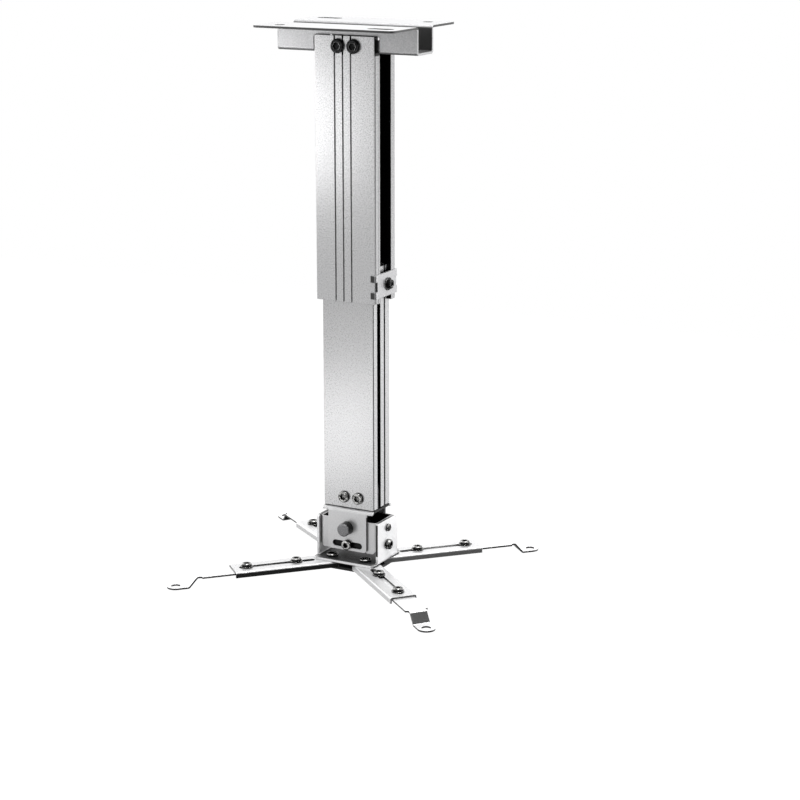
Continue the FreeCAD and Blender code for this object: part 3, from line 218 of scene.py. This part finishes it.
def make_edge_group():
    """A face's slightly rounded edges, and a painted highlight along them."""
    group, given = new_group("highlit_edge", {"Radius": 0.0004, "Width": 0.06},
                             {"Edge": "NodeSocketFloat", "Normal": "NodeSocketVector"})
    rounded = add_node(group, "ShaderNodeBevel", {"Radius": given["Radius"]}, samples=6)
    flat = add_node(group, "ShaderNodeNewGeometry")
    alike = add_node(group, "ShaderNodeVectorMath", {0: rounded.outputs[0], 1: flat.outputs["Normal"]},
                     operation="DOT_PRODUCT")
    turned = add_maths(group, "SUBTRACT", 1.0, alike.outputs["Value"])
    edge = add_node(group, "ShaderNodeMapRange", {"Value": turned, "From Max": given["Width"]})
    add_node(group, "NodeGroupOutput", {"Edge": edge.outputs[0], "Normal": rounded.outputs[0]})
    return group


def make_recess_group():
    """How deep a point lies in a slot, groove or corner: 0 in the open and 1 deep inside."""
    group, given = new_group("shaded_recess", {"Reach": 0.006, "Start": 0.35, "End": 0.85},
                             {"Recess": "NodeSocketFloat"})
    openness = add_node(group, "ShaderNodeAmbientOcclusion", {"Distance": given["Reach"]}, samples=16)
    hidden = add_maths(group, "SUBTRACT", 1.0, openness.outputs["AO"])
    recess = add_node(group, "ShaderNodeMapRange", {
        "Value": hidden, "From Min": given["Start"], "From Max": given["End"]})
    add_node(group, "NodeGroupOutput", {"Recess": recess.outputs[0]})
    return group


def make_bore_group():
    """1 within an upright shaft round the column's axis, down to a floor, and 0 outside it."""
    group, given = new_group("bore", {"Half width": 0.0, "Half depth": 0.0, "Floor": -1.0},
                             {"Inside": "NodeSocketFloat"})
    place = add_node(group, "ShaderNodeTexCoord").outputs["Object"]
    spot = add_node(group, "ShaderNodeSeparateXYZ", {0: place}).outputs
    inside = add_maths(group, "GREATER_THAN", spot["Z"], given["Floor"])
    for axis, half in (("X", "Half width"), ("Y", "Half depth")):
        within = add_maths(group, "LESS_THAN", add_maths(group, "ABSOLUTE", spot[axis]), given[half])
        inside = add_maths(group, "MULTIPLY", inside, within)
    add_node(group, "NodeGroupOutput", {"Inside": inside})
    return group


def make_facing_group():
    """The faces that look along a direction or against it, and those square to it.

    Both are 0 left of Leftmost, below Lowest and above Highest. Square takes in slopes up to Tilt."""
    group, given = new_group(
        "facing_along",
        {"Along": (0.0, 1.0, 0.0), "Start": 0.8, "End": 0.95, "Tilt": 0.3, "Leftmost": -1.0, "Lowest": -1.0,
         "Highest": 1.0},
        {"Facing": "NodeSocketFloat", "Square": "NodeSocketFloat"})
    place = add_node(group, "ShaderNodeTexCoord").outputs
    spot = add_node(group, "ShaderNodeSeparateXYZ", {0: place["Object"]}).outputs
    within = add_maths(group, "MULTIPLY", add_maths(group, "GREATER_THAN", spot["X"], given["Leftmost"]),
                       add_maths(group, "GREATER_THAN", spot["Z"], given["Lowest"]))
    within = add_maths(group, "MULTIPLY", within, add_maths(group, "LESS_THAN", spot["Z"], given["Highest"]))
    match = add_node(group, "ShaderNodeVectorMath", {0: place["Normal"], 1: given["Along"]}, operation="DOT_PRODUCT")
    size = add_maths(group, "ABSOLUTE", match.outputs["Value"])
    facing = add_node(group, "ShaderNodeMapRange", {
        "Value": size, "From Min": given["Start"], "From Max": given["End"]})
    square = add_node(group, "ShaderNodeMapRange", {
        "Value": size, "From Min": given["Tilt"],
        "From Max": add_maths(group, "SUBTRACT", given["Tilt"], SQUARE_SOFTNESS)})
    add_node(group, "NodeGroupOutput", {
        "Facing": add_maths(group, "MULTIPLY", facing.outputs[0], within),
        "Square": add_maths(group, "MULTIPLY", square.outputs[0], within)})
    return group


metal_grain = make_grain_group()
highlit_edge = make_edge_group()
shaded_recess = make_recess_group()
bore = make_bore_group()
facing_along = make_facing_group()


def blend_colours(tree, share, first, second):
    return add_node(tree, "ShaderNodeMix", {0: share, 6: first, 7: second}, data_type="RGBA").outputs[2]


def make_metal(name, light, dark, edge_highlight=SILVER_EDGE_HIGHLIGHT, metallic=0.6, roughness=(0.3, 0.42), grains=900.0,
               spread=0.2, relief=0.05, edge_radius=0.0004, edge_highlight_share=0.5, recess=(0.006, 0.5, 0.9),
               shade_colour=None, shaded_side="Square", shaded_faces=None, floor_shade=None, shafts=(), shaft_shade=DEEP_SHADE):
    """A metal finish: two close tones in fine grain, painted highlights on the edges, and painted shade in recesses.

    recess is how far the painted shade reaches, and where it starts and ends. The faces picked out by
    facing_along's inputs are painted with a shade colour, on the side given. With a floor shade, the painted shade
    lies on level faces only. Each shaft is a bore's half width, half depth and floor, and what lies in it has the
    shaft's shade."""
    material, tree = new_material(name)
    grain = add_node(tree, "ShaderNodeGroup", node_tree=metal_grain)
    grain.inputs["Grains per metre"].default_value = grains
    grain.inputs["Spread"].default_value = spread
    edge = add_node(tree, "ShaderNodeGroup", node_tree=highlit_edge)
    edge.inputs["Radius"].default_value = edge_radius
    hollow = add_node(tree, "ShaderNodeGroup", node_tree=shaded_recess)
    for socket, setting in zip(("Reach", "Start", "End"), recess):
        hollow.inputs[socket].default_value = setting
    share = add_maths(tree, "MULTIPLY_ADD", grain.outputs["Grain"], GRAIN_SHARE,
                      add_maths(tree, "MULTIPLY", grain.outputs["Cloud"], CLOUD_SHARE))
    colour = blend_colours(tree, share, dark, light)
    # Painted shade on the picked faces.
    if shade_colour:
        picked = add_node(tree, "ShaderNodeGroup", node_tree=facing_along)
        for socket, setting in {"Along": (0.0, 0.0, 1.0), **(shaded_faces or {})}.items():
            picked.inputs[socket].default_value = setting
        colour = blend_colours(tree, picked.outputs[shaded_side], colour, shade_colour)
    # A painted highlight along the rounded edges.
    edge_glint = add_maths(tree, "MULTIPLY", edge.outputs["Edge"], edge_highlight_share)
    colour = blend_colours(tree, edge_glint, colour, edge_highlight)
    # Painted shade in the recesses, on level faces only where a floor shade is given.
    depth = hollow.outputs["Recess"]
    if floor_shade:
        level = add_node(tree, "ShaderNodeGroup", node_tree=facing_along)
        level.inputs["Along"].default_value = (0.0, 0.0, 1.0)
        depth = add_maths(tree, "MULTIPLY", depth, level.outputs["Facing"])
    colour = blend_colours(tree, depth, colour, floor_shade or DEEP_SHADE)
    # Painted shade in each shaft.
    for shaft in shafts:
        within = add_node(tree, "ShaderNodeGroup", node_tree=bore)
        for socket, setting in zip(("Half width", "Half depth", "Floor"), shaft):
            within.inputs[socket].default_value = setting
        colour = blend_colours(tree, within.outputs["Inside"], colour, shaft_shade)
    rough = add_node(tree, "ShaderNodeMapRange", {
        "Value": grain.outputs["Grain"], "To Min": roughness[0], "To Max": roughness[1]})
    bumps = add_node(tree, "ShaderNodeBump", {
        "Strength": relief, "Distance": GRAIN_HEIGHT, "Height": grain.outputs["Grain"],
        "Normal": edge.outputs["Normal"]})
    surface = add_node(tree, "ShaderNodeBsdfPrincipled", {
        "Base Color": colour, "Metallic": metallic, "Roughness": rough.outputs[0],
        "Specular IOR Level": SPECULAR_LEVEL, "Normal": bumps.outputs[0]})
    add_node(tree, "ShaderNodeOutputMaterial", {"Surface": surface.outputs[0]})
    return material


def finish_nodes(material, *names):
    """Put the finish on the pieces' material slots."""
    for name in names:
        piece = nodes[name]
        if not piece.material_slots:
            piece.data.materials.append(material)
        for place in piece.material_slots:
            place.material = material


bracket_coat = make_metal(
    "bracket_coat", BRACKET_SILVER, BRACKET_GREY, relief=0.12, edge_highlight_share=0.35, recess=(0.008, 0.45, 0.75),
    shade_colour=DARK_FACE_SHADE, shaded_faces={"Lowest": FLANGE_UNDERSIDE},
    shafts=[(CHANNEL_HALF_LENGTH, CHANNEL_HALF_DEPTH, ALL_THE_WAY_DOWN)], shaft_shade=CHANNEL_SHADE)
finish_nodes(bracket_coat, "ceiling_bracket")

# Cross block: a sawn and drilled aluminium block in the top of the column. It rests on the bracket's web and takes
# the top screws. Two countersunk nickel-plated screws hold it to the web from below. Their mottled dark and bright
# tone is a painted reflection, with painted glints on their edges and painted shade on their sides.
BLOCK_LIGHT, BLOCK_DARK = (0.5, 0.5, 0.51, 1), (0.38, 0.38, 0.39, 1)
BLOCK_EDGE_HIGHLIGHT = (0.8, 0.8, 0.8, 1)
NICKEL_LIGHT, NICKEL_DARK = (0.50, 0.498, 0.49, 1), (0.015, 0.015, 0.014, 1)
NICKEL_GLINT = (0.9, 0.9, 0.88, 1)
SOCKET_SHADE = (0.02, 0.02, 0.02, 1)
sawn_block = make_metal("sawn_block", BLOCK_LIGHT, BLOCK_DARK, BLOCK_EDGE_HIGHLIGHT, roughness=(0.4, 0.6), grains=500.0)
nickel_painted_reflection = make_metal(
    "nickel_painted_reflection", NICKEL_LIGHT, NICKEL_DARK, NICKEL_GLINT, metallic=1.0, roughness=(0.12, 0.22), grains=420.0,
    spread=0.09, edge_radius=0.0003, edge_highlight_share=0.45, recess=(0.004, 0.2, 0.5), shade_colour=SOCKET_SHADE)
finish_nodes(sawn_block, "cross_block")
finish_nodes(nickel_painted_reflection, "block_screws")

# Outer profile: an aluminium extrusion, blasted and clear anodised, with grooves in its front and rear faces.
# Its right side is open from end to end, and its bore is painted dark as shade. Its left and right faces are painted
# a little darker than its front as shade, and nearly black beside the bracket as painted shadow.
ALUMINIUM_LIGHT, ALUMINIUM_DARK = (0.58, 0.58, 0.585, 1), (0.53, 0.53, 0.537, 1)
ALUMINIUM_SIDE_SHADE = (0.46, 0.46, 0.465, 1)
OUTER_BORE_HALF_WIDTH, OUTER_BORE_HALF_DEPTH = 0.0297, 0.0162
SHADED_HALF_WIDTH = 0.0305
SHADED_HALF_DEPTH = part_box("outer_profile")[1][1] - 0.0004
BRACKET_LOWEST = -0.0262
satin_aluminium = make_metal(
    "satin_aluminium", ALUMINIUM_LIGHT, ALUMINIUM_DARK, roughness=(0.25, 0.31), grains=1100.0, relief=0.03,
    edge_highlight_share=0.3, recess=(0.03, 0.5, 0.7), shade_colour=ALUMINIUM_SIDE_SHADE, shaded_side="Facing",
    shaded_faces={"Along": (1.0, 0.0, 0.0)},
    shafts=[(OUTER_BORE_HALF_WIDTH, OUTER_BORE_HALF_DEPTH, ALL_THE_WAY_DOWN),
            (SHADED_HALF_WIDTH, SHADED_HALF_DEPTH, BRACKET_LOWEST)])
finish_nodes(satin_aluminium, "outer_profile")

# Top screws: two button-head socket screws of steel, blackened and glossy, with a painted mottled reflection
# and painted glints on their rims.
# They go through the profile's front face into the cross block.
OXIDE_LIGHT, OXIDE_DARK = (0.03, 0.03, 0.031, 1), (0.003, 0.003, 0.003, 1)
OXIDE_GLINT = (0.6, 0.6, 0.6, 1)
black_oxide = make_metal(
    "black_oxide", OXIDE_LIGHT, OXIDE_DARK, OXIDE_GLINT, metallic=1.0, roughness=(0.08, 0.16), grains=380.0,
    spread=0.06, edge_highlight_share=0.8, recess=(0.003, 0.2, 0.45))
finish_nodes(black_oxide, "top_screws")

# Clamp: a plate folded from sheet steel and coated silver, which hooks round the open side of the outer profile.
# Its black screw runs in a zinc-plated square nut behind it and locks the inner profile. The faces of its hooks
# that look forward and back are painted dark as shade.
CLAMP_SILVER, CLAMP_GREY = (0.58, 0.58, 0.585, 1), (0.38, 0.38, 0.388, 1)
HOOK_FACE_SHADE = (0.05, 0.05, 0.05, 1)
ZINC_LIGHT, ZINC_DARK = (0.6, 0.6, 0.61, 1), (0.46, 0.46, 0.48, 1)
ZINC_EDGE_HIGHLIGHT = (0.9, 0.9, 0.9, 1)
clamp_coat = make_metal("clamp_coat", CLAMP_SILVER, CLAMP_GREY, shade_colour=HOOK_FACE_SHADE, shaded_side="Facing",
                        shaded_faces={"Along": (0.0, 1.0, 0.0)})
bright_zinc = make_metal("bright_zinc", ZINC_LIGHT, ZINC_DARK, ZINC_EDGE_HIGHLIGHT, metallic=0.85, roughness=(0.2, 0.34),
                         grains=700.0, recess=(0.004, 0.25, 0.6))
finish_nodes(clamp_coat, "clamp_plate")
finish_nodes(bright_zinc, "clamp_nut")
finish_nodes(black_oxide, "clamp_screw")

# Inner profile: a smaller aluminium extrusion with the same blasted finish and a narrow slot in its side.
# It slides in the outer one, and its bore is painted dark as shade too.
INNER_LIGHT, INNER_DARK = (0.57, 0.57, 0.575, 1), (0.535, 0.535, 0.54, 1)
INNER_BORE_HALF_WIDTH, INNER_BORE_HALF_DEPTH = 0.0253, 0.0133
inner_aluminium = make_metal(
    "inner_aluminium", INNER_LIGHT, INNER_DARK, roughness=(0.26, 0.30), grains=1100.0, relief=0.02, edge_highlight_share=0.3,
    recess=(0.012, 0.45, 0.65), shafts=[(INNER_BORE_HALF_WIDTH, INNER_BORE_HALF_DEPTH, ALL_THE_WAY_DOWN)])
finish_nodes(inner_aluminium, "inner_profile")

# End block: a second sawn block, in the inner profile's lower end. Two nickel-plated socket screws hold it
# through the profile's front face. Their heads' mottled tone is a painted reflection, with painted glints on
# their edges and sides painted dark as shade.
FORWARD_LIGHT, FORWARD_DARK = (0.48, 0.478, 0.47, 1), (0.012, 0.012, 0.012, 1)
forward_nickel = make_metal(
    "forward_nickel", FORWARD_LIGHT, FORWARD_DARK, NICKEL_GLINT, metallic=1.0, roughness=(0.12, 0.22), grains=380.0,
    spread=0.07, edge_radius=0.0003, edge_highlight_share=0.3, recess=(0.004, 0.1, 0.35), shade_colour=SOCKET_SHADE,
    shaded_faces={"Along": (0.0, 1.0, 0.0)})
finish_nodes(sawn_block, "end_block")
finish_nodes(forward_nickel, "foot_screws")

# Upper bracket: a U folded from sheet steel and coated silver, open downwards, with an ear in front and one behind.
# Screws from below hold it to the end block. The right edges of its ears and its inside are painted dark as shade.
HEAD_SILVER, HEAD_GREY = (0.68, 0.68, 0.685, 1), (0.52, 0.52, 0.525, 1)
EAR_SIDE_SHADE = (0.02, 0.02, 0.02, 1)
EAR_TOP = -0.4475
HEAD_INSIDE = (0.0285, 0.0155, -0.4875)
ear_coat = make_metal(
    "ear_coat", HEAD_SILVER, HEAD_GREY, recess=(0.012, 0.62, 0.85), shade_colour=EAR_SIDE_SHADE, shaded_side="Facing",
    shaded_faces={"Along": (1.0, 0.0, 0.0), "Leftmost": 0.0, "Highest": EAR_TOP}, shafts=[HEAD_INSIDE])
finish_nodes(ear_coat, "upper_bracket")
finish_nodes(nickel_painted_reflection, "head_screws")

# Tilt box: a box folded from sheet steel, between the two brackets. It tilts sideways on two steel studs, held in its
# walls, that turn in the ears. A screw in each ear's slot, with a zinc-plated nut inside, locks it. Its inside and
# what lies behind the ears are painted dark as shade, and so are the studs' sides.
BEHIND_EARS = (0.0185, 0.0175, -0.4875)
STUD_LIGHT, STUD_DARK = (0.20, 0.20, 0.205, 1), (0.13, 0.13, 0.135, 1)
STUD_SIDE_SHADE = (0.015, 0.015, 0.015, 1)
head_coat = make_metal("head_coat", HEAD_SILVER, HEAD_GREY, recess=(0.012, 0.62, 0.85),
                       shafts=[HEAD_INSIDE, BEHIND_EARS])
stud_steel = make_metal(
    "stud_steel", STUD_LIGHT, STUD_DARK, BLOCK_EDGE_HIGHLIGHT, metallic=0.9, roughness=(0.2, 0.3), grains=1200.0,
    recess=(0.006, 0.3, 0.6), shade_colour=STUD_SIDE_SHADE, shaded_faces={"Along": (0.0, 1.0, 0.0)})
finish_nodes(head_coat, "tilt_box")
finish_nodes(stud_steel, "roll_studs")
finish_nodes(forward_nickel, "roll_lock_screws")
finish_nodes(bright_zinc, "roll_lock_nuts")

# Lower bracket: a U folded from sheet steel, open upwards. It tilts forward and back on a rivet in each side of the
# tilt box, and a screw and nut below each rivet lock it. Its coat is a lighter copy of the brackets' silver, painted
# light. The right upright's front and rear edges are painted black as shade, and the top of the base plate is
# painted dark near the uprights as shade.
UPRIGHT_LIGHT, UPRIGHT_DARK = (0.9, 0.9, 0.905, 1), (0.76, 0.76, 0.767, 1)
UPRIGHT_EDGE_SHADE = (0.03, 0.03, 0.03, 1)
BASE_PLATE_SHADE = (0.05, 0.05, 0.05, 1)
UPRIGHT_FOOT = -0.4835
lit_upright_coat = make_metal(
    "lit_upright_coat", UPRIGHT_LIGHT, UPRIGHT_DARK, recess=(0.03, 0.0, 0.32), shade_colour=UPRIGHT_EDGE_SHADE,
    shaded_side="Facing", shaded_faces={"Along": (0.0, 1.0, 0.0), "Leftmost": 0.0, "Lowest": UPRIGHT_FOOT},
    floor_shade=BASE_PLATE_SHADE)
finish_nodes(lit_upright_coat, "lower_bracket")
finish_nodes(nickel_painted_reflection, "pitch_rivets", "pitch_lock_screws")
finish_nodes(bright_zinc, "pitch_lock_nuts")

# Hub plate: a plate under the arms' inner ends, painted near-black as the shade that lies under them.
# Four plated screws through the base plate and the arms run in it, and the arms swivel on them.
HUB_SHADE_LIGHT, HUB_SHADE_DARK = (0.03, 0.03, 0.03, 1), (0.015, 0.015, 0.015, 1)
HUB_EDGE_HIGHLIGHT = (0.3, 0.3, 0.3, 1)
hub_shade_coat = make_metal("hub_shade_coat", HUB_SHADE_LIGHT, HUB_SHADE_DARK, HUB_EDGE_HIGHLIGHT, metallic=0.0, roughness=(0.45, 0.6))
finish_nodes(hub_shade_coat, "hub_plate")
finish_nodes(nickel_painted_reflection, "base_screws")

# Arm channels: four slotted channels folded from sheet steel and coated silver, which swivel under the lower bracket.
# Their sheared edges are painted dark as shade. The walls of the front left one and the rear right one are painted
# darker than the others as shade.
ARM_SILVER, ARM_GREY = (0.74, 0.74, 0.745, 1), (0.58, 0.58, 0.585, 1)
DARK_WALL_SHADE, GREY_WALL_SHADE = (0.045, 0.045, 0.045, 1), (0.3, 0.3, 0.3, 1)
CHANNEL_SHEET_UNDERSIDE = -0.4941
ARM_RECESS = (0.015, 0.45, 0.8)
ARM_CORNERS = ("front_left", "front_right", "rear_right", "rear_left")
plain_arm_coat = make_metal("arm_coat", ARM_SILVER, ARM_GREY, recess=ARM_RECESS, shade_colour=DARK_FACE_SHADE,
                            shaded_faces={"Lowest": CHANNEL_SHEET_UNDERSIDE})
shaded_wall_coats = {
    corner: make_metal("shaded_wall_arm_coat_" + corner, ARM_SILVER, ARM_GREY, recess=ARM_RECESS, shade_colour=wall)
    for corner, wall in (("front_left", DARK_WALL_SHADE), ("rear_right", GREY_WALL_SHADE))}
for corner in ARM_CORNERS:
    finish_nodes(shaded_wall_coats.get(corner, plain_arm_coat), "arm_channel_" + corner)

# Foot strips: four strips of coated steel, cranked down to a rounded foot with a screw hole. Each slides in its
# channel, held by two plated screws with washers above and nuts below. Their edges are painted dark as shade, and so
# are their slopes, apart from the front left one's.
STRIP_LIGHT, STRIP_DARK = (0.84, 0.84, 0.845, 1), (0.76, 0.76, 0.765, 1)
SLOPES_TOO, EDGES_ONLY = 0.9, 0.3
foot_coat, bright_foot_coat = [
    make_metal(name, STRIP_LIGHT, STRIP_DARK, edge_highlight_share=0.3, recess=ARM_RECESS, shade_colour=DARK_FACE_SHADE,
               shaded_faces={"Tilt": tilt})
    for name, tilt in (("foot_coat", SLOPES_TOO), ("bright_foot_coat", EDGES_ONLY))]
for corner in ARM_CORNERS:
    finish_nodes(bright_foot_coat if corner == "front_left" else foot_coat, "foot_strip_" + corner)
    finish_nodes(nickel_painted_reflection, "arm_screws_" + corner, "arm_washers_" + corner)
    finish_nodes(bright_zinc, "arm_nuts_" + corner)
